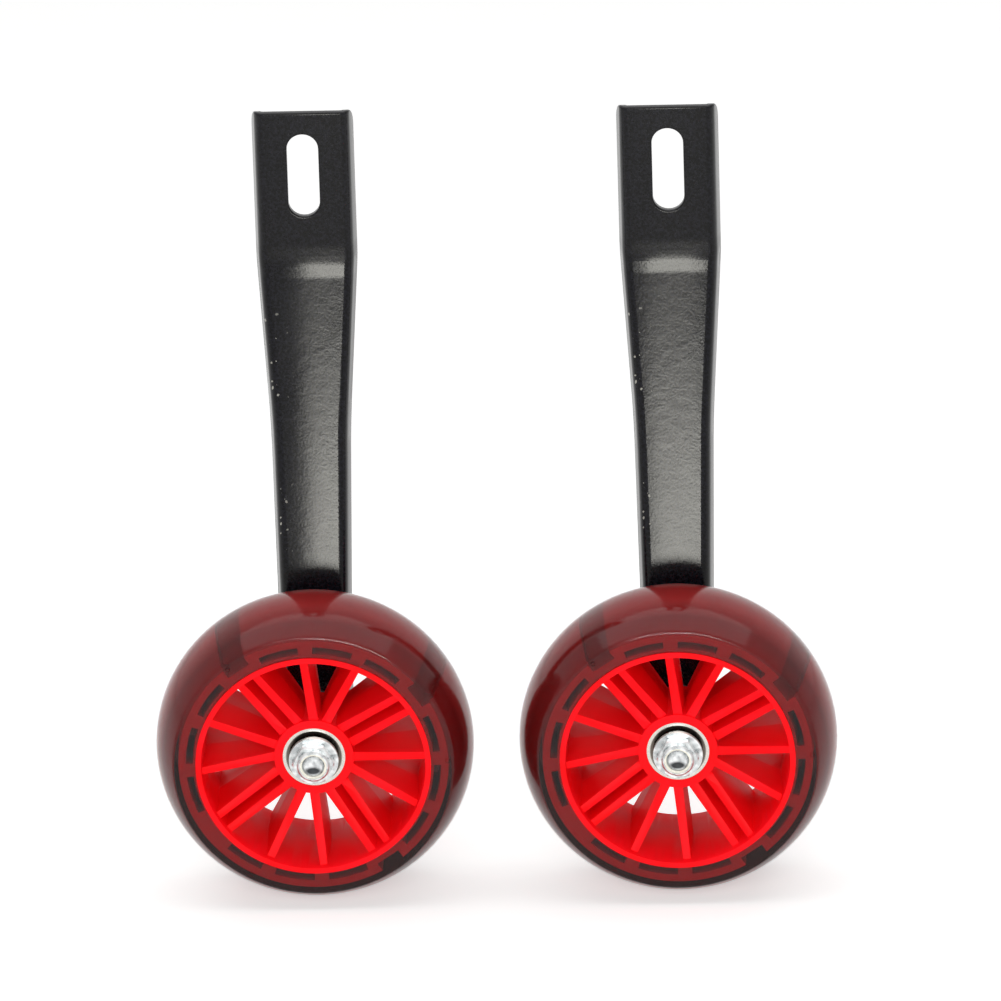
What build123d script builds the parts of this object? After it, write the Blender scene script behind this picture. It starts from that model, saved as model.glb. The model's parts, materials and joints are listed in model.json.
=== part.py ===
from build123d import *
import math
import os

# A pair of bicycle training wheels. Each side is a spoked wheel with a smoked tyre, turning on
# two ball bearings on a bolt that is clamped to the foot of a pressed steel stay.
# Millimetres. +Z is up, the axles run along Y, and the outer side of the wheels faces -Y.

# Driving dimensions
track = 128                             # between the two wheel centres
tyre_d = 112
tyre_width = 40
thread_d = 8                            # axle bolt
arm_height = 159                        # from the axle up to the slot plate's bend line
plate_height = 56                       # slot plate, from the bend line to the top edge
plate_width = 32.5
waist_width = 25                        # arm, where its sides turn out towards the plate
stay_lean = 14                          # degrees, the arm against the slot plate
flange_splay = 12                       # degrees, flanges opened out from square
sheet = 2.5                             # steel of the stay
slot_width = 11
slot_length = 31

# Clearances
thread_gap = 0.05                       # bolt to what is threaded or slid on it
washer_gap = 0.2                        # bolt to washer
hole_gap = 0.25                         # bolt to stay
ball_gap = 0.1                          # ball to race and cage
shield_gap = 0.3                        # shield to inner race
head_side_room = 0.15                   # bolt head to the stay's inner corner

# Bearing, in its usual proportion to the bore: 8 x 22 x 7
bore_r = thread_d / 2
bearing_r = 2.75 * bore_r
bearing_width = 1.75 * bore_r
pitch_r = 0.5 * (bore_r + bearing_r)
ball_r = 0.26 * pitch_r
ball_count = 7
groove_r = ball_r + ball_gap
outer_land_r = pitch_r + ball_r
inner_land_r = pitch_r - 0.7 * ball_r
cage_half_wall = 0.1 * pitch_r
cage_rim = 0.35                         # cage past the balls' pockets
cage_half = groove_r + cage_rim
shield_t = 0.3
shield_sunk = 0.35                      # shield face behind the race face
shield_lap = 0.4                        # shield into the outer race

# Fasteners
bolt_r = bore_r - thread_gap
hex_flats = 1.625 * thread_d
hex_chamfer = 0.5
head_height = 0.66 * thread_d
head_lap = 1                            # shank drawn into the head
bolt_chamfer = 0.1 * thread_d
bolt_proud = 0.2                        # bolt end past the lock nut
washer_r = 1.09 * thread_d
washer_bore_r = bolt_r + washer_gap
washer_t = 0.2 * thread_d
boss_r = 0.72 * thread_d                # boss that keeps a washer off the bearing's shield
boss_height = 0.25 * thread_d
flange_nut_height = thread_d
flange_nut_r = 1.12 * thread_d
flange_nut_rim = 0.15 * thread_d
flange_nut_cone = 2.5 * flange_nut_rim
lock_nut_height = 0.65 * thread_d
lock_nut_hex = 0.43 * thread_d
lock_collar_r = 0.72 * thread_d
insert_wall = 0.13 * thread_d
insert_lap = 0.3                        # collar rolled over the nylon ring
spacer_wall = 1.7

# Hub
hub_recess = 8                          # hub face behind the rim lip
hub_wall = 3
hub_r = bearing_r + hub_wall
hub_draft = 0.8
hub_land = 1.5                          # stop between the two bearing seats
hub_land_r = bearing_r - hub_land
bearing_sunk = 0.2                      # bearing face behind the hub face

# Rim of the wheel core
lip_proud = 0.5                         # exposed lip past the tyre's side
lip_half = tyre_width / 2 + lip_proud
lip_inner_r = 0.352 * tyre_d
lip_wall = 2
lip_outer_r = lip_inner_r + lip_wall
barrel_r = 0.423 * tyre_d
tyre_skin = 2                           # tyre over the barrel's side
barrel_half = tyre_width / 2 - tyre_skin
crest = 1.2                             # inner wall, drafted both ways from its middle
crest_r = lip_inner_r - crest

# Ribs, windows and notches of the wheel core, set out round four rib boxes
quarter = 90
box_start = 34.6                        # first rib box, degrees from +X towards +Z
box_half = 3.2                          # box centre line to rib
box_floor = 3                           # web between the ribs of a box
root = 1                                # rib and web drawn into the hub and the rim
fork_half_hub = 2                       # fork centre line to rib at the hub
fork_half_rim = 0.09 * tyre_d           # and at the rim
rib_middle = 4.6                        # rib thickness at mid width
rib_edge = 2.4                          # rib thickness at its front edge
rib_set_back = 2.5                      # rib front behind the lip
rib_hub_drop = 0.7                      # rib front behind the hub face
notched_boxes = (0, 1, 3)
notch_width = 9
notch_depth = 3.3
window_span = 18.3                      # degrees
window_angles = (20, 45, 70)            # degrees on from a rib box
window_lip_gap = 0.9
window_rim = 2.6
window_inner_r = lip_outer_r + window_lip_gap
window_outer_r = barrel_r - window_rim

# Tyre
shoulder_r = 0.439 * tyre_d
shoulder_round = 0.8

# Stay
corner_r = 1.4 * sheet
splay = math.radians(flange_splay)
corner_reach = math.tan((math.pi / 2 - splay) / 2)  # from a sharp corner to its round, per radius
flange_wall = sheet / math.cos(splay)   # flange thickness across the stay
foot_width = 2 * (hex_flats / math.sqrt(3) + head_side_room
                  + (corner_r - sheet) * corner_reach + flange_wall)
head_room = 0.6                         # flange edges past the bolt head
channel_depth = sheet + head_height + head_room
foot_bend_height = 24
waist_height = 0.63 * arm_height
foot_bend_r = 24
plate_bend_r = 16
outline_blend_r = 400
flange_top_r = 0.8 * channel_depth
slot_top_margin = 8.2                   # from the top edge to the slot's end
edge_round = 0.7
overcut = 5                             # room drawn past the stay
touching = 1e-4                         # nearer than this counts as on a face

# Places along the axle, from the wheel's middle towards the stay
hub_half = lip_half - hub_recess
bearing_face = hub_half - bearing_sunk
bearing_back = bearing_face - bearing_width
nut_face = bearing_face + boss_height + washer_t
stay_face = nut_face + flange_nut_height + washer_t
bolt_seat = stay_face + sheet
bolt_end = -(nut_face + lock_nut_height + bolt_proud)

# Places in the part's frame
stay_top = arm_height + plate_height
plate_face = stay_face + (arm_height - foot_bend_height) * math.tan(math.radians(stay_lean))
wheel_y = (max(lip_half, -bolt_end) - plate_face - channel_depth) / 2
axle_z = tyre_d / 2


def turned(points):
    # a solid of revolution about the axle, from (radius, place along the axle) points
    return revolve(make_face(Polyline(*points, close=True)), Axis.Y)


def ring(inner_r, outer_r, start, end):
    return turned([(inner_r, start), (outer_r, start), (outer_r, end), (inner_r, end)])


def cylinder_along(radius, start, end):
    return turned([(0, start), (radius, start), (radius, end), (0, end)])


def carried(drawing, start, end):
    # a drawing of the wheel's face, +X right and +Z up, carried along the axle
    return extrude(Plane.XZ.offset(-end) * drawing, end - start)


def hexagon(flats, start, end):
    # a hexagon bar along the axle with its corners turned off at both ends
    tip_r = flats / math.sqrt(3)
    bar = carried(RegularPolygon(tip_r, 6), start, end)
    turning = turned([
        (0, start), (tip_r - hex_chamfer, start), (tip_r, start + hex_chamfer),
        (tip_r, end - hex_chamfer), (tip_r - hex_chamfer, end), (0, end),
    ])
    return bar & turning


def box_direction(turn):
    return Rot(0, 0, box_start + turn * quarter)


def rib_outline(start, end):
    run = Vector(*end) - Vector(*start)
    middle = (Vector(*end) + Vector(*start)) * 0.5
    angle = math.degrees(math.atan2(run.Y, run.X))
    return Pos(middle.X, middle.Y) * Rot(0, 0, angle) * Rectangle(run.length, rib_middle)


def arc_window(angle):
    start = angle - window_span / 2
    inner = CenterArc((0, 0), window_inner_r, start, window_span)
    outer = CenterArc((0, 0), window_outer_r, start, window_span)
    return make_face([outer, inner, Line(inner @ 0, outer @ 0), Line(inner @ 1, outer @ 1)])


def make_ribs():
    # sixteen thin ribs, four parallel boxes and four forks, drafted outwards from the middle
    hub_end = hub_r - root
    rim_end = lip_inner_r + root
    draft = math.degrees(math.atan((rib_middle - rib_edge) / 2 / lip_half))
    outer_half = Part()
    for turn in range(4):
        for side in (-1, 1):
            box_rib = rib_outline((hub_end, side * box_half), (rim_end, side * box_half))
            fork_rib = rib_outline((hub_end, side * fork_half_hub), (rim_end, side * fork_half_rim))
            outer_half += [
                extrude(Plane.XZ * (box_direction(place) * rib), lip_half, taper=draft)
                for place, rib in ((turn, box_rib), (turn + 0.5, fork_rib))
            ]
    ribs = outer_half + mirror(outer_half, Plane.XZ)
    hub_edge = hub_half - rib_hub_drop
    rim_edge = lip_half - rib_set_back
    envelope = turned([
        (hub_end - root, -hub_edge), (hub_r, -hub_edge), (rim_end, -rim_edge),
        (rim_end, rim_edge), (hub_r, hub_edge), (hub_end - root, hub_edge),
    ])
    return ribs & envelope


def make_core():
    # one moulding: hub with two bearing seats, ribs, and a barrel that the tyre keys into
    barrel = turned([
        (crest_r, 0), (lip_inner_r, lip_half), (lip_outer_r, lip_half), (lip_outer_r, barrel_half),
        (barrel_r, barrel_half), (barrel_r, -barrel_half), (lip_outer_r, -barrel_half),
        (lip_outer_r, -lip_half), (lip_inner_r, -lip_half),
    ])
    hub = turned([
        (bearing_r, hub_half), (hub_r, hub_half), (hub_r + hub_draft, 0), (hub_r, -hub_half),
        (bearing_r, -hub_half), (bearing_r, -bearing_back), (hub_land_r, -bearing_back),
        (hub_land_r, bearing_back), (bearing_r, bearing_back),
    ])
    core = barrel + hub + make_ribs()
    floor_run = crest_r + root / 2 - hub_r
    floor = Pos(hub_r + floor_run / 2, 0) * Rectangle(floor_run, 2 * box_half)
    notch = Pos(barrel_r, 0) * Rectangle(2 * notch_depth, notch_width)
    for turn in range(4):
        core += carried(box_direction(turn) * floor, -box_floor / 2, box_floor / 2)
    for turn in range(4):
        for angle in window_angles:
            core -= carried(box_direction(turn) * arc_window(angle), -lip_half, lip_half)
    for turn in notched_boxes:
        core -= carried(box_direction(turn) * notch, -lip_half, lip_half)
    return core


def make_tyre(core):
    # moulded round the core, so it fills the core's windows and notches
    half = tyre_width / 2
    crown = ThreePointArc((shoulder_r, -half), (tyre_d / 2, 0), (shoulder_r, half))
    walls = Polyline(
        (shoulder_r, half), (lip_outer_r, half), (lip_outer_r, -half), (shoulder_r, -half))
    section = make_face([crown, *walls.edges()])
    shoulders = section.vertices().group_by(Axis.X)[-1]
    return revolve(fillet(shoulders, shoulder_round), Axis.Y) - core


def ball_places():
    return [Rot(0, i * 360 / ball_count, 0) * Pos(pitch_r, 0, 0) for i in range(ball_count)]


def make_bearing(name, middle):
    # a shielded ball bearing: two races, balls in a cage, and a shield on each side
    half = bearing_width / 2
    shield_face = half - shield_sunk
    shield_seat = shield_face - shield_t
    step_r = outer_land_r + shield_lap
    groove = Pos(pitch_r, 0) * Circle(groove_r)
    outer = make_face(Polyline(
        (outer_land_r, -shield_seat), (step_r, -shield_seat), (step_r, -half), (bearing_r, -half),
        (bearing_r, half), (step_r, half), (step_r, shield_seat), (outer_land_r, shield_seat),
        close=True))
    inner_wall = inner_land_r - bore_r
    inner = Pos(bore_r + inner_wall / 2, 0) * Rectangle(inner_wall, bearing_width)
    cage = ring(pitch_r - cage_half_wall, pitch_r + cage_half_wall, -cage_half, cage_half)
    shields = [
        ring(inner_land_r + shield_gap, step_r, side * shield_seat, side * shield_face)
        for side in (-1, 1)
    ]
    pieces = {
        "outer_race": revolve(outer - groove, Axis.Y),
        "inner_race": revolve(inner - groove, Axis.Y),
        "balls": Part() + [place * Sphere(ball_r) for place in ball_places()],
        "cage": cage - [place * Sphere(groove_r) for place in ball_places()],
        "shields": Part() + shields,
    }
    return {f"{name}_{piece}": Pos(0, middle, 0) * shape for piece, shape in pieces.items()}


def washer(start):
    return ring(washer_bore_r, washer_r, start, start + washer_t)


def boss_washer():
    # on the bearing that is nearer the stay, with its boss against the inner race
    seat = bearing_face + boss_height
    return washer(seat) + ring(washer_bore_r, boss_r, bearing_face, seat)


def make_bolt():
    head = hexagon(hex_flats, bolt_seat, bolt_seat + head_height)
    shank = turned([
        (0, bolt_seat + head_lap), (bolt_r, bolt_seat + head_lap), (bolt_r, bolt_end + bolt_chamfer),
        (bolt_r - bolt_chamfer, bolt_end), (0, bolt_end),
    ])
    return head + shank


def make_stay_nut():
    # flanged nut, flange towards the stay
    end = nut_face + flange_nut_height
    cone = end - flange_nut_cone
    flange = turned([
        (0, end), (flange_nut_r, end), (flange_nut_r, end - flange_nut_rim),
        (hex_flats / 2, cone), (0, cone),
    ])
    return hexagon(hex_flats, nut_face, end) + flange - cylinder_along(bore_r, nut_face, end)


def make_lock_nut():
    # hexagon with a round collar, rolled over a nylon ring
    seat = -nut_face
    hex_end = seat - lock_nut_hex
    end = seat - lock_nut_height
    roll = end + 2 * insert_lap
    insert_r = bore_r + insert_wall
    collar = turned([
        (0, hex_end), (lock_collar_r, hex_end), (lock_collar_r, roll),
        (lock_collar_r - 2 * insert_lap, end), (0, end),
    ])
    nut = hexagon(hex_flats, hex_end, seat) + collar
    nut -= cylinder_along(bore_r, hex_end, seat)
    nut -= cylinder_along(insert_r, roll, hex_end)
    nut -= cylinder_along(insert_r - insert_lap, end, hex_end)
    return nut, ring(bore_r, insert_r, roll, hex_end)


def stay_bends(back):
    # the stay's two bend points seen from the side, this far behind its front face
    drop = back * math.tan(math.radians(stay_lean) / 2)
    return (stay_face + back, foot_bend_height - drop), (plate_face + back, arm_height - drop)


def rounded(drawing, corners):
    # the drawing with each (point, radius) corner rounded
    for point, radius in corners:
        drawing = fillet(drawing.vertices().sort_by_distance((*point, 0))[0], radius)
    return drawing


def stay_side(front, back, top):
    # side view of the room between two depths behind the stay's front face
    near, far = stay_bends(front), stay_bends(back)
    low = -foot_width
    drawing = make_face(Polyline(
        (stay_face + front, low), *near, (plate_face + front, top),
        (plate_face + back, top), far[1], far[0], (stay_face + back, low), close=True))
    return rounded(drawing, (
        (near[0], foot_bend_r - front), (near[1], plate_bend_r + front),
        (far[0], foot_bend_r - back), (far[1], plate_bend_r + back),
    ))


def stay_front(inset, top):
    # front view at the foot's face: slot plate, waisted arm and round foot. The flanges open
    # towards the back, so what lies further back starts narrower here
    narrowing = math.tan(math.radians(stay_lean)) * math.tan(splay)
    foot, waist, plate = [
        width / 2 - (height - foot_bend_height) * narrowing - inset
        for width, height in (
            (foot_width, foot_bend_height), (waist_width, waist_height), (plate_width, arm_height))
    ]
    right = [
        (foot, 0), (foot, foot_bend_height), (waist, waist_height), (plate, arm_height), (plate, top),
    ]
    left = [(-x, z) for x, z in reversed(right)]
    drawing = make_face(Polyline(*right, *left, close=True))
    blends = [(point, outline_blend_r) for point in right[1:-1] + left[1:-1]]
    return rounded(drawing, blends) + Circle(foot)


def pressed_block(side, front, round_r, top):
    # the block that both views leave, with the front wall's edges rounded, apart from the top
    block = extrude(Plane.YZ.offset(-plate_width) * side, 2 * plate_width)
    foot_face = Plane((0, stay_face, 0), x_dir=(-1, 0, 0), z_dir=(0, 1, 0))
    block &= extrude(foot_face * front, 2 * plate_face, taper=-flange_splay)
    walls = [
        f for f in block.faces()
        if f.normal_at().Y < -0.5 and abs(f.normal_at().X) < touching
    ]
    edges = [e for wall in walls for e in wall.edges()]
    rims = [
        e for e in edges
        if sum(e.is_same(x) for x in edges) == 1 and e.center().Z < top - touching
    ]
    return fillet(rims, round_r)


def make_stay():
    # a channel pressed from one sheet: front wall, two flanges and a lip round the foot
    flange_top = (plate_face + channel_depth, stay_top)
    room_top = stay_top + overcut
    side = rounded(stay_side(0, channel_depth, stay_top), [(flange_top, flange_top_r)])
    room = stay_side(sheet, channel_depth + overcut, room_top)
    stay = pressed_block(side, stay_front(0, stay_top), corner_r, stay_top)
    stay -= pressed_block(room, stay_front(flange_wall, room_top), corner_r - sheet, room_top)
    slot_middle = stay_top - slot_top_margin - slot_length / 2
    slot = Pos(0, slot_middle) * SlotOverall(slot_length, slot_width, rotation=90)
    stay -= carried(slot, stay_face, plate_face + channel_depth)
    stay -= cylinder_along(bolt_r + hole_gap, stay_face, stay_face + channel_depth)
    slot_foot = slot_middle - slot_length / 2
    worn = [
        e for e in stay.edges()
        if abs(e.center().Y - plate_face) < touching and e.center().Z > slot_foot - touching
        and abs(e.center().X) < slot_width
    ]
    return fillet(worn, edge_round)


def make_side():
    # every piece of one side, by name, about the middle of its wheel
    core = make_core()
    lock_nut, lock_nut_insert = make_lock_nut()
    bearing_middle = bearing_face - bearing_width / 2
    return {
        "stay": make_stay(),
        "axle_bolt": make_bolt(),
        "stay_washer": washer(stay_face - washer_t),
        "stay_nut": make_stay_nut(),
        "inner_washer": boss_washer(),
        **make_bearing("inner_bearing", bearing_middle),
        "bearing_spacer": ring(bore_r, bore_r + spacer_wall, -bearing_back, bearing_back),
        **make_bearing("outer_bearing", -bearing_middle),
        "wheel_core": core,
        "tyre": make_tyre(core),
        "outer_washer": mirror(boss_washer(), Plane.XZ),
        "lock_nut": lock_nut,
        "lock_nut_insert": lock_nut_insert,
    }


os.makedirs("parts", exist_ok=True)
pieces = make_side()
for side, x in (("left", -track / 2), ("right", track / 2)):
    for name, shape in pieces.items():
        export_step(Pos(x, wheel_y, axle_z) * shape, f"parts/{side}_{name}.step")
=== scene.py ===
import json
import math

import bmesh
import bpy
from mathutils import Matrix, Vector


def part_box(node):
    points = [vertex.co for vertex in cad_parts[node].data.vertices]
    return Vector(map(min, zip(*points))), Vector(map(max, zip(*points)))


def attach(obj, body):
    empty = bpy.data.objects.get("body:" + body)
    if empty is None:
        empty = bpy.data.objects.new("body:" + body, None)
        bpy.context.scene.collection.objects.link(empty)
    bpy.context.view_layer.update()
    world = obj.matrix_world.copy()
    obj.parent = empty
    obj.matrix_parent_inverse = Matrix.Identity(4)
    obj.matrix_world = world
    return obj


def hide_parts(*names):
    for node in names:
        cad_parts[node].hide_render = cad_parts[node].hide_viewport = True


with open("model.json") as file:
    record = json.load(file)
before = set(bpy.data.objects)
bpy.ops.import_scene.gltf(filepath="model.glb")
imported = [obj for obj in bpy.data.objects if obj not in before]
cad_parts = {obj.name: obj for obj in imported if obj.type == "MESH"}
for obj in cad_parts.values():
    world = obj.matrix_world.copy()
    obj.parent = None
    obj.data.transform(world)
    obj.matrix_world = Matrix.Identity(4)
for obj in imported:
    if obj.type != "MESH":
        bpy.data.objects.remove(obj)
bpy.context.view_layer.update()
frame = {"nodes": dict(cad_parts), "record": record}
print("frame loaded,", len(frame["nodes"]), "nodes")

mm = 0.001
sides = ("left", "right")


def node(name):  # the CAD object of a node
    return bpy.data.objects[name]


def linearColour(code):  # "#rrggbb" as seen on a screen, to linear light
    parts = [int(code[i:i + 2], 16) / 255 for i in (1, 3, 5)]
    return [c / 12.92 if c <= 0.04045 else ((c + 0.055) / 1.055) ** 2.4 for c in parts] + [1]


def addNode(tree, kind, sockets=None, **settings):
    made = tree.nodes.new(kind)
    for name, value in settings.items():
        setattr(made, name, value)
    for name, value in (sockets or {}).items():
        if isinstance(value, bpy.types.NodeSocket):
            tree.links.new(value, made.inputs[name])
        else:
            made.inputs[name].default_value = value
    return made


def newMaterial(name):
    material = bpy.data.materials.new(name)
    material.use_nodes = True
    material.node_tree.nodes.clear()
    return material, material.node_tree


def setRamp(ramp, stops):  # stops are (place, "#rrggbb")
    while len(ramp.elements) < len(stops):
        ramp.elements.new(0.5)
    for element, (place, code) in zip(ramp.elements, stops):
        element.position = place
        element.color = linearColour(code)


def deselectAll():
    if bpy.context.mode != "OBJECT":
        bpy.ops.object.mode_set(mode="OBJECT")
    bpy.ops.object.select_all(action="DESELECT")


# Camera: a long lens a little above the wheels, as the photograph was taken
cameraSetup = {
    "place": (162.9, -4577.1, 2113.9),  # mm
    "yaw": 2.0,  # degrees to the left of +Y
    "pitch": 23.34,  # degrees below the horizon
    "roll": -1.73,
    "lens": 510.5,  # mm
    "sensor": 36,  # mm
    "clip": (0.05, 50),  # m
}


def makeCamera():
    bpy.ops.object.camera_add(location=Vector(cameraSetup["place"]) * mm)
    camera = bpy.context.object
    camera.data.sensor_width = cameraSetup["sensor"]
    camera.data.lens = cameraSetup["lens"]
    camera.data.clip_start, camera.data.clip_end = cameraSetup["clip"]
    turn = Matrix.Rotation(math.radians(cameraSetup["yaw"]), 3, "Z")
    turn @= Matrix.Rotation(math.radians(90 - cameraSetup["pitch"]), 3, "X")
    turn @= Matrix.Rotation(math.radians(cameraSetup["roll"]), 3, "Z")
    camera.rotation_euler = turn.to_euler()
    bpy.context.scene.camera = camera


deselectAll()
makeCamera()
print("camera placed")


# Studio: a pale floor, an even white room and three soft boxes
studio = {
    "floorSize": 9.0,  # m
    "floorDrop": 0.0002,  # m below the tyres
    "floorColour": "#f4f4f3",
    "floorRoughness": 0.9,
    "floorShine": 0.1,
    "floorLift": 0.44,  # white added where the floor is seen
    "roomColour": "#ffffff",
    "roomLight": 0.26,  # on the object
    "roomSeen": 1.0,  # plain white where the room is seen
    "lamps": (  # name, place (m), aim (m), width and height (m), strength (W)
        ("keyBox", (-0.1, -2.0, 1.1), (0, 0, 0.11), 1.4, 0.8, 15),  # round the camera
        ("lowBox", (0.07, -1.3, 0.172), (0, 0, 0.15), 0.44, 0.2, 7.5),  # sheen on the arms
        ("overBox", (0, 0.1, 1.5), (0, 0, 0), 2.6, 1.3, 14),  # tops of the tyres
    ),
}


def whereSeen(tree):  # 1 where the camera looks, also by reflection or through the clear tyres
    path = addNode(tree, "ShaderNodeLightPath")
    seen = addNode(tree, "ShaderNodeMath", {
        0: path.outputs["Is Camera Ray"], 1: path.outputs["Is Glossy Ray"]}, operation="MAXIMUM")
    seen = addNode(tree, "ShaderNodeMath", {
        0: seen.outputs[0], 1: path.outputs["Is Transmission Ray"]}, operation="MAXIMUM")
    return seen.outputs[0]


def makeFloor():
    bpy.ops.mesh.primitive_plane_add(
        size=studio["floorSize"], location=(0, 0, -studio["floorDrop"]))
    floor = bpy.context.object
    floor.name = "studioFloor"
    material, tree = newMaterial("matt white paper sweep")  # even and shadow-keeping
    paper = addNode(tree, "ShaderNodeBsdfPrincipled", {
        "Base Color": linearColour(studio["floorColour"]),
        "Roughness": studio["floorRoughness"], "Specular IOR Level": studio["floorShine"]})
    lift = addNode(tree, "ShaderNodeMath", {
        0: whereSeen(tree), 1: studio["floorLift"]}, operation="MULTIPLY")
    glow = addNode(tree, "ShaderNodeEmission", {"Strength": lift.outputs[0]})
    both = addNode(tree, "ShaderNodeAddShader", {0: paper.outputs[0], 1: glow.outputs[0]})
    addNode(tree, "ShaderNodeOutputMaterial", {"Surface": both.outputs[0]})
    floor.data.materials.append(material)


def makeRoom():
    world = bpy.data.worlds.new("white room")
    bpy.context.scene.world = world
    world.use_nodes = True
    tree = world.node_tree
    tree.nodes.clear()
    strength = addNode(tree, "ShaderNodeMapRange", {
        "Value": whereSeen(tree), "To Min": studio["roomLight"], "To Max": studio["roomSeen"]})
    light = addNode(tree, "ShaderNodeBackground", {
        "Color": linearColour(studio["roomColour"]), "Strength": strength.outputs[0]})
    addNode(tree, "ShaderNodeOutputWorld", {"Surface": light.outputs[0]})


def makeLamps():
    for name, place, aim, width, height, watts in studio["lamps"]:
        bpy.ops.object.light_add(type="AREA", location=place)
        lamp = bpy.context.object
        lamp.name = name
        lamp.data.shape = "RECTANGLE"
        lamp.data.size = width
        lamp.data.size_y = height
        lamp.data.energy = watts
        lamp.rotation_euler = (Vector(aim) - Vector(place)).to_track_quat("-Z", "Y").to_euler()


makeFloor()
makeRoom()
makeLamps()
bpy.context.scene.view_settings.view_transform = "Standard"
print("studio lit")


# Each side wears its pattern alike, so x is counted from one stay to the next
pairPitch = 128 * mm
leftAxle = (-64, 56)  # mm, x and z
noiseLow, noiseHigh = 0.3, 0.7  # most of a noise lies between these


def sidePlace(tree):  # Object coordinates, with x wrapped to the left side
    place = addNode(tree, "ShaderNodeTexCoord").outputs["Object"]
    parts = addNode(tree, "ShaderNodeSeparateXYZ", {0: place})
    wrapped = addNode(tree, "ShaderNodeMath", {
        0: parts.outputs["X"], 1: 0.0, 2: -pairPitch}, operation="WRAP")
    joined = addNode(tree, "ShaderNodeCombineXYZ", {
        "X": wrapped.outputs[0], "Y": parts.outputs["Y"], "Z": parts.outputs["Z"]})
    return joined.outputs[0]


# Powder coat: sprayed as dust and baked, so a satin blue-black skin with a fine pebble grain
powder = {
    "dark": "#040408", "light": "#17171e", "bare": "#9a9890", "glare": "#a3a29c",
    "grain": 0.85,  # mm between pebbles, drawn coarse so that they show
    "peel": 3.5,  # mm, the slow ripple under the grain
    "cloud": 26,  # mm, handling
    "crown": 137,  # mm, the pressed face's radius across the stay
    "gloss": (0.14, 0.19),  # roughness, clean to handled
    "ior": 1.5,
    "peelBump": (0.25, 0.1),  # strength, and mm high
    "grainBump": (0.35, 0.07),
    "nickBump": (0.5, 0.15),
    "bend": (215, 6.5, 0.33),  # mm, height of the upper bend, reach and depth of its softening
    "nickSpread": 2.0,  # mm between the small nicks on the arm's left edge
    "nickSize": 0.3,  # of that spread, for the largest
    "nickFew": 2.5,  # the higher, the fewer large ones
    "nickRagged": 1.4,  # mm, how far a nick's outline wanders
    "nickEdge": (-11.5, -5.5),  # mm from the stay's middle, nicked to clean
    "nickHeight": (100, 210),  # mm above the floor, spanned by the bands
    "nickBands": (0.11, 0.14, 0.34, 0.38, 0.57, 0.63, 0.86, 0.9),  # clean, nicked, clean, twice
    "nickFacing": -0.4,  # normal's y, only the front is nicked
}


def makePowderCoat():
    material, tree = newMaterial("baked polyester powder coat")
    place = sidePlace(tree)
    grain = addNode(tree, "ShaderNodeTexNoise", {
        "Vector": place, "Scale": 1 / (powder["grain"] * mm), "Detail": 2.0, "Roughness": 0.6})
    peel = addNode(tree, "ShaderNodeTexNoise", {
        "Vector": place, "Scale": 1 / (powder["peel"] * mm), "Detail": 1.0})
    cloud = addNode(tree, "ShaderNodeTexNoise", {
        "Vector": place, "Scale": 1 / (powder["cloud"] * mm), "Detail": 3.0})
    tint = addNode(tree, "ShaderNodeValToRGB", {0: grain.outputs["Fac"]})
    setRamp(tint.color_ramp, ((0.4, powder["dark"]), (0.65, powder["light"])))
    nick = makeNicks(tree, place)
    colour = addNode(tree, "ShaderNodeMix", {
        "Factor": nick, 6: tint.outputs[0], 7: linearColour(powder["bare"])}, data_type="RGBA")
    gloss = addNode(tree, "ShaderNodeMapRange", {
        "Value": cloud.outputs["Fac"], "From Min": noiseLow, "From Max": noiseHigh,
        "To Min": powder["gloss"][0], "To Max": powder["gloss"][1]})
    crown = addNode(tree, "ShaderNodeBump", {
        "Height": crownHeight(tree, place), "Strength": 1.0, "Distance": 1.0})
    ripple = addNode(tree, "ShaderNodeBump", {
        "Height": peel.outputs["Fac"], "Strength": powder["peelBump"][0],
        "Distance": powder["peelBump"][1] * mm, "Normal": crown.outputs[0]})
    pebble = addNode(tree, "ShaderNodeBump", {
        "Height": grain.outputs["Fac"], "Strength": powder["grainBump"][0],
        "Distance": powder["grainBump"][1] * mm, "Normal": ripple.outputs[0]})
    dent = addNode(tree, "ShaderNodeBump", {
        "Height": nick, "Strength": powder["nickBump"][0],
        "Distance": powder["nickBump"][1] * mm, "Normal": pebble.outputs[0]}, invert=True)
    skin = addNode(tree, "ShaderNodeBsdfPrincipled", {
        "Base Color": colour.outputs[2], "Roughness": gloss.outputs[0], "IOR": powder["ior"],
        "Specular Tint": linearColour(powder["glare"]), "Normal": dent.outputs[0]})
    addNode(tree, "ShaderNodeOutputMaterial", {"Surface": skin.outputs[0]})
    return material


def crownHeight(tree, place):  # pressing leaves the face fuller in its middle and the bend soft
    parts = addNode(tree, "ShaderNodeSeparateXYZ", {0: place})
    across = addNode(tree, "ShaderNodeMath", {
        0: parts.outputs["X"], 1: pairPitch / 2}, operation="ADD")
    squared = addNode(tree, "ShaderNodeMath", {0: across.outputs[0], 1: 2.0}, operation="POWER")
    fullness = addNode(tree, "ShaderNodeMath", {
        0: squared.outputs[0], 1: -0.5 / (powder["crown"] * mm)}, operation="MULTIPLY")
    bend, reach, depth = (v * mm for v in powder["bend"])
    away = addNode(tree, "ShaderNodeMath", {0: parts.outputs["Z"], 1: bend}, operation="SUBTRACT")
    away = addNode(tree, "ShaderNodeMath", {0: away.outputs[0]}, operation="ABSOLUTE")
    near = addNode(tree, "ShaderNodeMapRange", {
        "Value": away.outputs[0], "From Max": reach, "To Min": 1.0, "To Max": 0.0},
        interpolation_type="SMOOTHSTEP")
    height = addNode(tree, "ShaderNodeMath", {
        0: near.outputs[0], 1: depth, 2: fullness.outputs[0]}, operation="MULTIPLY_ADD")
    return height.outputs[0]


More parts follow.
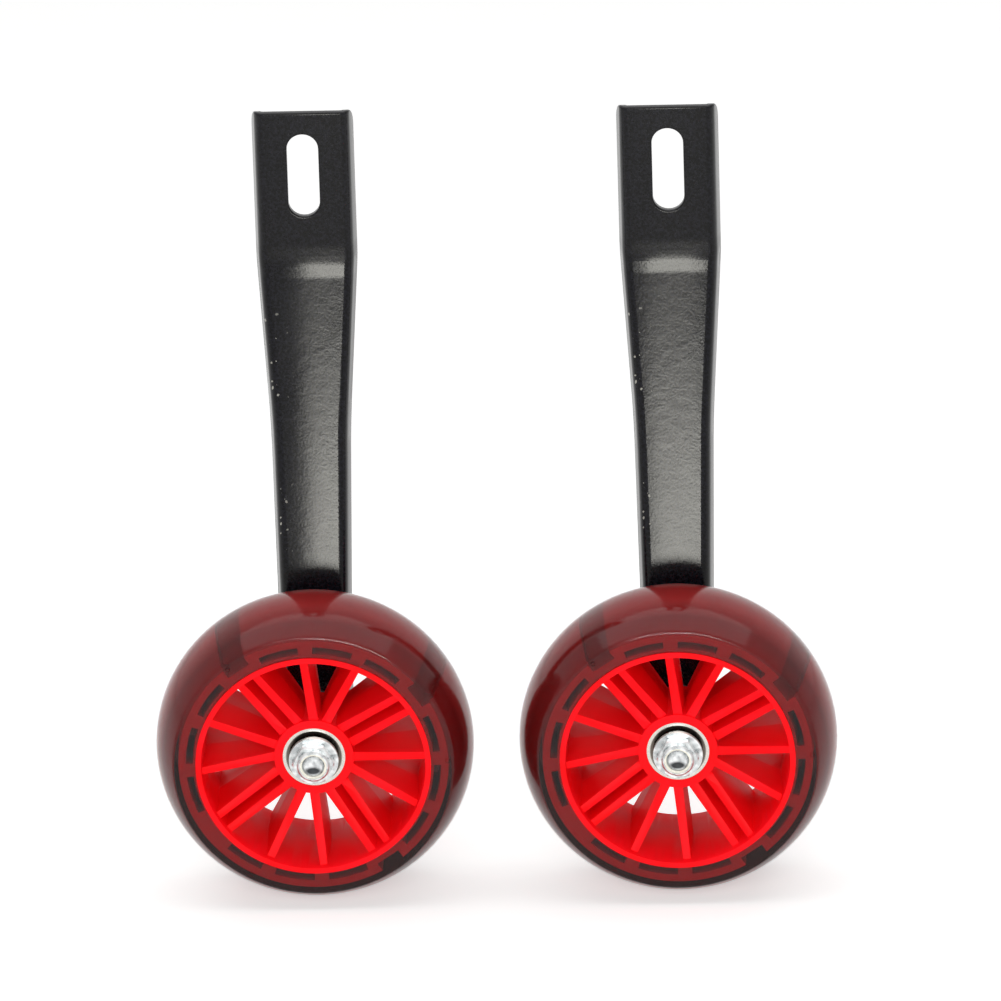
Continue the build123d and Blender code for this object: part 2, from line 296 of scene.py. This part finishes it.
def makeNicks(tree, place):  # 1 in a nick, 0 on whole coat
    parts = addNode(tree, "ShaderNodeSeparateXYZ", {0: place})
    wander = addNode(tree, "ShaderNodeTexNoise", {
        "Vector": place, "Scale": 1 / (powder["nickRagged"] * mm)})
    wander = addNode(tree, "ShaderNodeVectorMath", {
        0: wander.outputs["Color"], 1: [powder["nickRagged"] * mm] * 3}, operation="MULTIPLY")
    ragged = addNode(tree, "ShaderNodeVectorMath", {
        0: place, 1: wander.outputs[0]}, operation="ADD")
    cells = addNode(tree, "ShaderNodeTexVoronoi", {
        "Vector": ragged.outputs[0], "Scale": 1 / (powder["nickSpread"] * mm)})
    chance = addNode(tree, "ShaderNodeSeparateColor", {0: cells.outputs["Color"]})
    chance = addNode(tree, "ShaderNodeMath", {
        0: chance.outputs[0], 1: powder["nickFew"]}, operation="POWER")
    size = addNode(tree, "ShaderNodeMath", {
        0: chance.outputs[0], 1: powder["nickSize"]}, operation="MULTIPLY")
    spot = addNode(tree, "ShaderNodeMath", {
        0: cells.outputs["Distance"], 1: size.outputs[0]}, operation="LESS_THAN")
    nearEdge, clean = (-pairPitch / 2 + x * mm for x in powder["nickEdge"])
    across = addNode(tree, "ShaderNodeMapRange", {
        "Value": parts.outputs["X"], "From Min": nearEdge, "From Max": clean,
        "To Min": 1.0, "To Max": 0.0})
    low, high = (z * mm for z in powder["nickHeight"])
    height = addNode(tree, "ShaderNodeMapRange", {
        "Value": parts.outputs["Z"], "From Min": low, "From Max": high})
    bands = addNode(tree, "ShaderNodeValToRGB", {0: height.outputs[0]})
    clear, worn = "#000000", "#ffffff"
    setRamp(bands.color_ramp, list(zip(powder["nickBands"], (clear, worn, worn, clear) * 2)))
    surface = addNode(tree, "ShaderNodeNewGeometry")
    facing = addNode(tree, "ShaderNodeSeparateXYZ", {0: surface.outputs["Normal"]})
    front = addNode(tree, "ShaderNodeMath", {
        0: facing.outputs["Y"], 1: powder["nickFacing"]}, operation="LESS_THAN")
    share = spot.outputs[0]
    for mask in (across, bands, front):
        both = addNode(tree, "ShaderNodeMath", {0: share, 1: mask.outputs[0]}, operation="MULTIPLY")
        share = both.outputs[0]
    return share


# Polypropylene: injection moulded, so an even signal red with a waxy half gloss
plastic = {
    "deep": "#f0060f", "bright": "#f90d1a",
    "flow": 14, "texture": 0.7,  # mm
    "gloss": (0.46, 0.58), "ior": 1.49, "shine": 0.09,
    "tooth": (0.12, 0.04),  # strength, and mm high
    "glow": 0.25, "glowReach": (1.0, 0.12, 0.1), "glowDepth": 3,  # red light soaks in furthest, mm
}


def makeRedPlastic():
    material, tree = newMaterial("moulded red polypropylene")
    place = sidePlace(tree)
    flow = addNode(tree, "ShaderNodeTexNoise", {
        "Vector": place, "Scale": 1 / (plastic["flow"] * mm), "Detail": 2.0})
    fine = addNode(tree, "ShaderNodeTexNoise", {
        "Vector": place, "Scale": 1 / (plastic["texture"] * mm), "Detail": 1.0})
    tint = addNode(tree, "ShaderNodeValToRGB", {0: flow.outputs["Fac"]})
    setRamp(tint.color_ramp, ((0.35, plastic["deep"]), (0.65, plastic["bright"])))
    gloss = addNode(tree, "ShaderNodeMapRange", {
        "Value": flow.outputs["Fac"], "From Min": noiseLow, "From Max": noiseHigh,
        "To Min": plastic["gloss"][0], "To Max": plastic["gloss"][1]})
    tooth = addNode(tree, "ShaderNodeBump", {
        "Height": fine.outputs["Fac"], "Strength": plastic["tooth"][0],
        "Distance": plastic["tooth"][1] * mm})
    skin = addNode(tree, "ShaderNodeBsdfPrincipled", {
        "Base Color": tint.outputs[0], "Roughness": gloss.outputs[0], "IOR": plastic["ior"],
        "Specular IOR Level": plastic["shine"], "Normal": tooth.outputs[0],
        "Subsurface Weight": plastic["glow"], "Subsurface Radius": plastic["glowReach"],
        "Subsurface Scale": plastic["glowDepth"] * mm})
    addNode(tree, "ShaderNodeOutputMaterial", {"Surface": skin.outputs[0]})
    return material


# Soft PVC: cast clear and smoked, so the red shows through it, darker the deeper it is
smoke = {
    "absorb": "#b02e2e", "density": 100.0,  # per metre
    "middle": "#ffe2dc", "shoulder": "#8c8080", "wall": "#968a8a",
    "wallShadePlaces": (0.3, 0.7, 0.98),  # of half the width; painted shade: the tyre passes less light towards its side skins, darker there as a top light would leave them
    "glare": "#c6c2c2", "ripple": 5.0,  # mm
    "clear": 0.98,  # the rest is bloom
    "gloss": (0.08, 0.13), "ior": 1.42,
    "dimple": (0.1, 0.1),  # strength, and mm high
}


def makeSmokedTyre():
    material, tree = newMaterial("smoked clear cast PVC")
    place = sidePlace(tree)
    ripple = addNode(tree, "ShaderNodeTexNoise", {
        "Vector": place, "Scale": 1 / (smoke["ripple"] * mm), "Detail": 1.0})
    gloss = addNode(tree, "ShaderNodeMapRange", {
        "Value": ripple.outputs["Fac"], "From Min": noiseLow, "From Max": noiseHigh,
        "To Min": smoke["gloss"][0], "To Max": smoke["gloss"][1]})
    dimple = addNode(tree, "ShaderNodeBump", {
        "Height": ripple.outputs["Fac"], "Strength": smoke["dimple"][0],
        "Distance": smoke["dimple"][1] * mm})
    across = addNode(tree, "ShaderNodeSeparateXYZ", {0: place}).outputs["Y"]
    low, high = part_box("left_tyre")
    fromMiddle = addNode(tree, "ShaderNodeMath", {
        0: across, 1: (low.y + high.y) / 2}, operation="SUBTRACT")
    fromMiddle = addNode(tree, "ShaderNodeMath", {0: fromMiddle.outputs[0]}, operation="ABSOLUTE")
    share = addNode(tree, "ShaderNodeMath", {
        0: fromMiddle.outputs[0], 1: (high.y - low.y) / 2}, operation="DIVIDE")
    # painted shade: the clear colour darkens from the middle of the width towards the side skins
    wallShadeRamp = addNode(tree, "ShaderNodeValToRGB", {0: share.outputs[0]})
    wallShadeColours = (smoke["middle"], smoke["shoulder"], smoke["wall"])
    setRamp(wallShadeRamp.color_ramp, list(zip(smoke["wallShadePlaces"], wallShadeColours)))
    skin = addNode(tree, "ShaderNodeBsdfPrincipled", {
        "Base Color": wallShadeRamp.outputs[0], "Transmission Weight": smoke["clear"], "IOR": smoke["ior"],
        "Specular Tint": linearColour(smoke["glare"]),
        "Roughness": gloss.outputs[0], "Normal": dimple.outputs[0]})
    depth = addNode(tree, "ShaderNodeVolumeAbsorption", {
        "Color": linearColour(smoke["absorb"]), "Density": smoke["density"]})
    addNode(tree, "ShaderNodeOutputMaterial", {
        "Surface": skin.outputs[0], "Volume": depth.outputs[0]})
    return material


# Zinc plate: dipped bright, so a white metal with a soft cloudy gloss
zinc = {
    "pale": "#d3d6d6", "grey": "#a9adae", "darkReflection": "#24282a",
    "cloud": 2.2, "scuff": 0.35,  # mm
    "gloss": (0.22, 0.38),
    "tooth": (0.15, 0.03),  # strength, and mm high
    "reflectionSpot": (-64, 54.6),  # mm, x and z of the painted dark reflection on the left bolt's end
    "reflectionSize": 3.5,  # mm from its middle sideways, half as much upwards
    "reflectionCore": 0.55,  # of that size, where it is thickest
    "reflectionCover": 0.95,
    "reflectionReach": 1.2,  # mm back from the bolt's end
}


def makeZincPlate():
    material, tree = newMaterial("bright zinc plated steel")
    place = sidePlace(tree)
    cloud = addNode(tree, "ShaderNodeTexNoise", {
        "Vector": place, "Scale": 1 / (zinc["cloud"] * mm), "Detail": 3.0})
    scuff = addNode(tree, "ShaderNodeTexNoise", {
        "Vector": place, "Scale": 1 / (zinc["scuff"] * mm), "Detail": 2.0})
    tint = addNode(tree, "ShaderNodeValToRGB", {0: cloud.outputs["Fac"]})
    setRamp(tint.color_ramp, ((0.35, zinc["grey"]), (0.65, zinc["pale"])))
    # painted reflection: a dark patch on the lower part of the bolt's end
    colour = addNode(tree, "ShaderNodeMix", {
        "Factor": makeBoltEndReflection(tree, place), 6: tint.outputs[0],
        7: linearColour(zinc["darkReflection"])}, data_type="RGBA")
    gloss = addNode(tree, "ShaderNodeMapRange", {
        "Value": cloud.outputs["Fac"], "From Min": noiseLow, "From Max": noiseHigh,
        "To Min": zinc["gloss"][0], "To Max": zinc["gloss"][1]})
    tooth = addNode(tree, "ShaderNodeBump", {
        "Height": scuff.outputs["Fac"], "Strength": zinc["tooth"][0],
        "Distance": zinc["tooth"][1] * mm})
    skin = addNode(tree, "ShaderNodeBsdfPrincipled", {
        "Base Color": colour.outputs[2], "Metallic": 1.0, "Roughness": gloss.outputs[0],
        "Normal": tooth.outputs[0]})
    addNode(tree, "ShaderNodeOutputMaterial", {"Surface": skin.outputs[0]})
    return material


def makeBoltEndReflection(tree, place):  # 1 in the painted dark reflection on the bolt's end, 0 on plain zinc
    x, z = (v * mm for v in zinc["reflectionSpot"])
    away = addNode(tree, "ShaderNodeVectorMath", {0: place, 1: (-x, 0, -z)}, operation="ADD")
    away = addNode(tree, "ShaderNodeVectorMath", {
        0: away.outputs[0], 1: (1, 0, 2)}, operation="MULTIPLY")
    away = addNode(tree, "ShaderNodeVectorMath", {0: away.outputs[0]}, operation="LENGTH")
    spot = addNode(tree, "ShaderNodeMapRange", {
        "Value": away.outputs["Value"], "From Min": zinc["reflectionCore"] * zinc["reflectionSize"] * mm,
        "From Max": zinc["reflectionSize"] * mm, "To Min": zinc["reflectionCover"], "To Max": 0.0})
    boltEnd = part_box("left_axle_bolt")[0].y
    depth = addNode(tree, "ShaderNodeSeparateXYZ", {0: place}).outputs["Y"]
    onEnd = addNode(tree, "ShaderNodeMath", {
        0: depth, 1: boltEnd + zinc["reflectionReach"] * mm}, operation="LESS_THAN")
    return addNode(tree, "ShaderNodeMath", {
        0: spot.outputs[0], 1: onEnd.outputs[0]}, operation="MULTIPLY").outputs[0]


# Bearing steel: ground and polished, so a bright ring, with painted shade darkening it towards the
# shield
steel = {
    "pale": "#d6d3cb", "grey": "#bdbab3", "raceShade": "#4a4038",
    "lines": 0.25,  # mm
    "gloss": (0.14, 0.26),
    "raceShadeBand": (9.6, 10.0),  # mm from the axle, painted shade to bright
    "raceShadeCover": 0.9,
}


def makeBearingSteel():
    material, tree = newMaterial("ground and polished bearing steel")
    place = sidePlace(tree)
    lines = addNode(tree, "ShaderNodeTexNoise", {
        "Vector": place, "Scale": 1 / (steel["lines"] * mm), "Detail": 1.0})
    tint = addNode(tree, "ShaderNodeValToRGB", {0: lines.outputs["Fac"]})
    setRamp(tint.color_ramp, ((0.3, steel["grey"]), (0.7, steel["pale"])))
    x, z = (v * mm for v in leftAxle)
    flat = addNode(tree, "ShaderNodeVectorMath", {0: place, 1: (-x, 0, -z)}, operation="ADD")
    flat = addNode(tree, "ShaderNodeVectorMath", {
        0: flat.outputs[0], 1: (1, 0, 1)}, operation="MULTIPLY")
    radius = addNode(tree, "ShaderNodeVectorMath", {0: flat.outputs[0]}, operation="LENGTH")
    inner, outer = (r * mm for r in steel["raceShadeBand"])
    # painted shade: the steel darkens inside this band, towards the shield, where the proud washer
    # shades it
    raceShadeBand = addNode(tree, "ShaderNodeMapRange", {
        "Value": radius.outputs["Value"], "From Min": inner, "From Max": outer,
        "To Min": steel["raceShadeCover"], "To Max": 0.0})
    colour = addNode(tree, "ShaderNodeMix", {
        "Factor": raceShadeBand.outputs[0], 6: tint.outputs[0],
        7: linearColour(steel["raceShade"])}, data_type="RGBA")
    gloss = addNode(tree, "ShaderNodeMapRange", {
        "Value": lines.outputs["Fac"], "From Min": noiseLow, "From Max": noiseHigh,
        "To Min": steel["gloss"][0], "To Max": steel["gloss"][1]})
    skin = addNode(tree, "ShaderNodeBsdfPrincipled", {
        "Base Color": colour.outputs[2], "Metallic": 1.0, "Roughness": gloss.outputs[0]})
    addNode(tree, "ShaderNodeOutputMaterial", {"Surface": skin.outputs[0]})
    return material


# Nylon: moulded in its natural cream, so a dull waxy ring
nylon = {
    "dark": "#d9d6c8", "light": "#e8e5d8",
    "flow": 1.5,  # mm
    "roughness": 0.5, "ior": 1.53,
}


def makeNylon():
    material, tree = newMaterial("natural moulded nylon")
    place = sidePlace(tree)
    flow = addNode(tree, "ShaderNodeTexNoise", {
        "Vector": place, "Scale": 1 / (nylon["flow"] * mm), "Detail": 2.0})
    tint = addNode(tree, "ShaderNodeValToRGB", {0: flow.outputs["Fac"]})
    setRamp(tint.color_ramp, ((0.35, nylon["dark"]), (0.65, nylon["light"])))
    skin = addNode(tree, "ShaderNodeBsdfPrincipled", {
        "Base Color": tint.outputs[0], "Roughness": nylon["roughness"], "IOR": nylon["ior"]})
    addNode(tree, "ShaderNodeOutputMaterial", {"Surface": skin.outputs[0]})
    return material


finishes = {
    "black_powder_coat": makePowderCoat(),
    "red_plastic": makeRedPlastic(),
    "smoked_tyre": makeSmokedTyre(),
    "zinc_plate": makeZincPlate(),
    "bearing_steel": makeBearingSteel(),
    "nylon": makeNylon(),
}


def dressNodes():  # every CAD node takes the finish of its slot in the record
    for subpart in frame["record"]["subparts"]:
        piece = node(subpart["node"])
        piece.data.materials.clear()
        piece.data.materials.append(finishes[subpart["material_slot"]])


dressNodes()
print("finishes on")


# Soft edges: a moulding and a pressing have no knife edges, and these catch the light
softEdges = {
    "widths": {"wheel_core": 0.25, "stay": 0.3},  # mm
    "segments": 2,
    "sharp": 40,  # degrees, past which an edge is softened
    "flat": 0.5,  # degrees, within which faces are one
    "weld": 0.005,  # mm
}


def softenEdges():
    for side in sides:
        for name, width in softEdges["widths"].items():
            piece = node(side + "_" + name)
            weld = piece.modifiers.new("weld", "WELD")
            weld.merge_threshold = softEdges["weld"] * mm
            flat = piece.modifiers.new("flat", "DECIMATE")
            flat.decimate_type = "DISSOLVE"
            flat.angle_limit = math.radians(softEdges["flat"])
            bevel = piece.modifiers.new("soft", "BEVEL")
            bevel.width = width * mm
            bevel.segments = softEdges["segments"]
            bevel.limit_method = "ANGLE"
            bevel.angle_limit = math.radians(softEdges["sharp"])
            bevel.harden_normals = True


softenEdges()
print("edges softened")


# Tyre: cast round the core, whose barrel stands inside this ring of clear plastic
tyre = {
    "innerRadius": 40.5,  # mm, hidden in the lip
    "shoulderRadius": 49.17,
    "shoulderRound": 0.7,
    "roundSteps": 4,
    "crownSteps": 36,
    "turnSteps": 180,
    "smooth": 30,  # degrees
    "pipAngles": (127.5, 1.5, -119.0),  # degrees from +X towards +Z
    "pipRing": 47.3,  # mm from the axle
    "pipRadius": 0.85,
    "pipHeight": 0.3,
    "pipSteps": 24,
    "pipInset": 0.35,  # of its radius
    "pipSink": 0.9,  # of its height
}
mergeGap = 0.001 * mm
onFace = 0.01 * mm  # nearer than this is on a sidewall
onShoulder = 0.02 * mm


def selectWhere(piece, kind, test):  # in edit mode, by the middle of each vertex, edge or face
    mesh = bmesh.from_edit_mesh(piece.data)
    bpy.ops.mesh.select_all(action="DESELECT")
    for part in getattr(mesh, kind):
        points = [part.co] if kind == "verts" else [v.co for v in part.verts]
        if test(sum(points, Vector()) / len(points)):
            part.select_set(True)
    mesh.select_flush_mode()
    bmesh.update_edit_mesh(piece.data)


def makeTyreRing(radius, half):
    inner = tyre["innerRadius"] * mm
    shoulder = tyre["shoulderRadius"] * mm
    rise = radius - shoulder
    crownRadius = (half ** 2 + rise ** 2) / (2 * rise)
    deselectAll()
    bpy.ops.mesh.primitive_plane_add(size=mm)
    ring = bpy.context.object
    bpy.ops.object.mode_set(mode="EDIT")
    bpy.ops.mesh.merge(type="CENTER")  # one point to draw the section with
    bpy.ops.transform.translate(value=(shoulder, -half, 0))
    bpy.ops.mesh.spin(
        steps=tyre["crownSteps"], angle=-2 * math.asin(half / crownRadius),
        center=(radius - crownRadius, 0, 0), axis=(0, 0, 1))  # the crown
    selectWhere(ring, "verts", lambda p: p.y > half - onFace)
    for step in ((inner - shoulder, 0, 0), (0, -2 * half, 0), (shoulder - inner, 0, 0)):
        bpy.ops.mesh.extrude_region_move(TRANSFORM_OT_translate={"value": step})
    bpy.ops.mesh.select_all(action="SELECT")
    bpy.ops.mesh.remove_doubles(threshold=mergeGap)
    bpy.ops.mesh.select_all(action="SELECT")
    bpy.ops.mesh.spin(
        steps=tyre["turnSteps"], angle=2 * math.pi, center=(0, 0, 0), axis=(0, 1, 0))
    bpy.ops.mesh.select_all(action="SELECT")
    bpy.ops.mesh.remove_doubles(threshold=mergeGap)
    bpy.ops.mesh.normals_make_consistent(inside=False)
    bpy.ops.mesh.select_mode(type="EDGE")
    edge = shoulder * math.cos(math.pi / tyre["turnSteps"])
    selectWhere(ring, "edges", lambda p: abs(abs(p.y) - half) < onFace
                and abs(math.hypot(p.x, p.z) - edge) < onShoulder)
    bpy.ops.mesh.bevel(
        offset=tyre["shoulderRound"] * mm, segments=tyre["roundSteps"], affect="EDGES")
    bpy.ops.object.mode_set(mode="OBJECT")
    for angle in tyre["pipAngles"]:
        addPip(ring, math.radians(angle), half)
    return ring


def addPip(ring, angle, half):  # a moulding pin's mark, a low ring on the outer sidewall
    radius, height, out = (tyre[name] * mm for name in ("pipRadius", "pipHeight", "pipRing"))
    deselectAll()
    bpy.ops.mesh.primitive_cylinder_add(
        vertices=tyre["pipSteps"], radius=radius, depth=2 * height,
        location=(out * math.cos(angle), -half, out * math.sin(angle)),
        rotation=(math.pi / 2, 0, 0))
    pip = bpy.context.object
    bpy.ops.object.transform_apply(location=True, rotation=True, scale=True)
    bpy.ops.object.mode_set(mode="EDIT")
    bpy.ops.mesh.select_mode(type="FACE")
    selectWhere(pip, "faces", lambda p: p.y < -half - height / 2)
    bpy.ops.mesh.inset(thickness=tyre["pipInset"] * radius)
    bpy.ops.transform.translate(value=(0, tyre["pipSink"] * height, 0))
    bpy.ops.object.mode_set(mode="OBJECT")
    deselectAll()
    bpy.context.view_layer.objects.active = ring
    ring.select_set(True)
    joint = ring.modifiers.new("pip", "BOOLEAN")
    joint.operation = "UNION"
    joint.object = pip
    bpy.ops.object.modifier_apply(modifier="pip")
    bpy.data.objects.remove(pip)


def makeTyre():
    low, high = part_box("left_tyre")
    centre = (low + high) / 2
    ring = makeTyreRing((high.z - low.z) / 2, (high.y - low.y) / 2)
    ring.data.transform(Matrix.Translation(centre))
    bpy.ops.object.shade_smooth_by_angle(angle=math.radians(tyre["smooth"]))
    for side in sides:
        piece = ring if side == "left" else ring.copy()
        if side == "right":
            piece.data = ring.data.copy()
            bpy.context.collection.objects.link(piece)
            piece.data.transform(Matrix.Translation((pairPitch, 0, 0)))
        piece.name = side + "_smoked_tyre"
        piece.data.materials.clear()
        piece.data.materials.append(finishes["smoked_tyre"])
        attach(piece, side + "_wheel")
        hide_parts(side + "_tyre")


makeTyre()
print("tyres cast")
